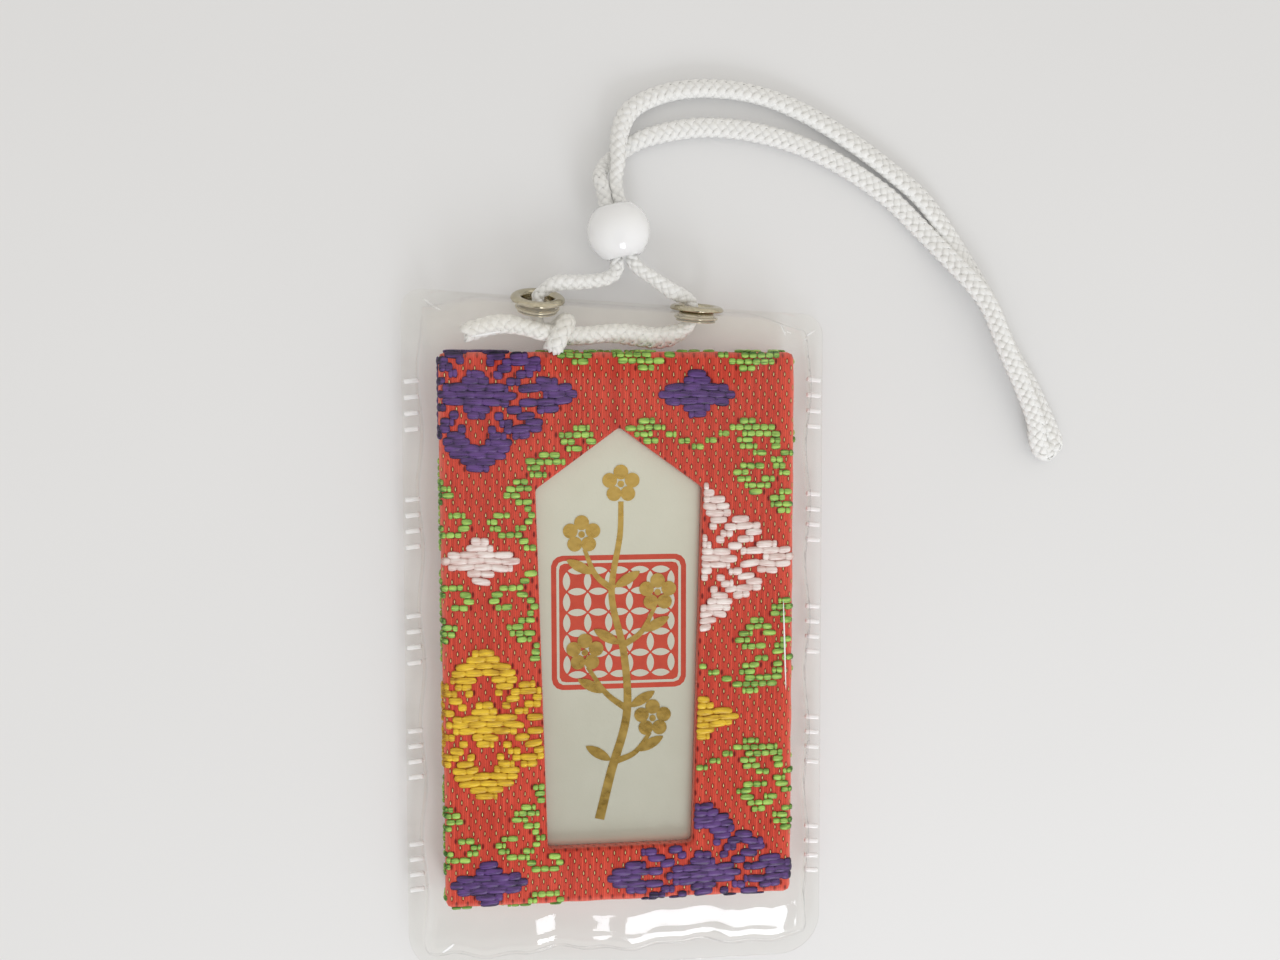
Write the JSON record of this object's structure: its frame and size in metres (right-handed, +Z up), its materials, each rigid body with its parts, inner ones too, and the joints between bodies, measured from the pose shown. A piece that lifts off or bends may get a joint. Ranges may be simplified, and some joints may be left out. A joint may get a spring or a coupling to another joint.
{
  "type": "omamori charm",
  "caption": "Flat protective charm: brocade-covered tablet with a windowed front, sealed in a clear vinyl pouch and hung from a beaded braided cord.",
  "frame": {"origin": "on the table under the middle of the pouch and its eyelets, cord not counted", "axes": "lies on its back: +X to the right, +Y from the pouch's foot towards the cord, +Z up from the back to the windowed front"},
  "size_m": [0.0782, 0.1028, 0.0071],
  "materials": {
    "clear_vinyl": "clear soft vinyl film, glossy",
    "eyelet_metal": "nickel-plated, polished",
    "brocade": "woven figured brocade",
    "grey_card": "matt board",
    "silver_paper": "satin silver-white paper with foil stamping",
    "white_paper": "matt",
    "cypress": "planed",
    "lining_cloth": "plain weave",
    "white_cord": "braided",
    "white_bead": "glossy"
  },
  "bodies": {
    "pouch": {"pouch_front_film": "clear_vinyl", "pouch_back_film": "clear_vinyl", "left_eyelet": "eyelet_metal", "right_eyelet": "eyelet_metal", "left_eyelet_washer": "eyelet_metal", "right_eyelet_washer": "eyelet_metal", "cord_left_leg": "white_cord", "cord_right_leg": "white_cord", "cord_loop": "white_cord", "cord_left_tail": "white_cord", "cord_right_tail": "white_cord", "cord_knot": "white_cord", "cord_cut_end": "white_cord"},
    "tablet": {"brocade_cover": "brocade", "window_card": "grey_card", "display_panel": "silver_paper", "prayer_sleeve": "white_paper", "prayer_board": "cypress", "backing_card": "grey_card", "back_lining": "lining_cloth"},
    "bead": {"bead": "white_bead"}
  },
  "joints": [
    {"name": "tablet_shift", "type": "slide", "parent": "pouch", "child": "tablet", "axis": [0, 1, 0], "range_m": [-0.003, 0]},
    {"name": "bead_slide", "type": "slide", "parent": "pouch", "child": "bead", "axis": [-0.1994, 0.9799, 0], "range_m": [0, 0.002]}
  ]
}
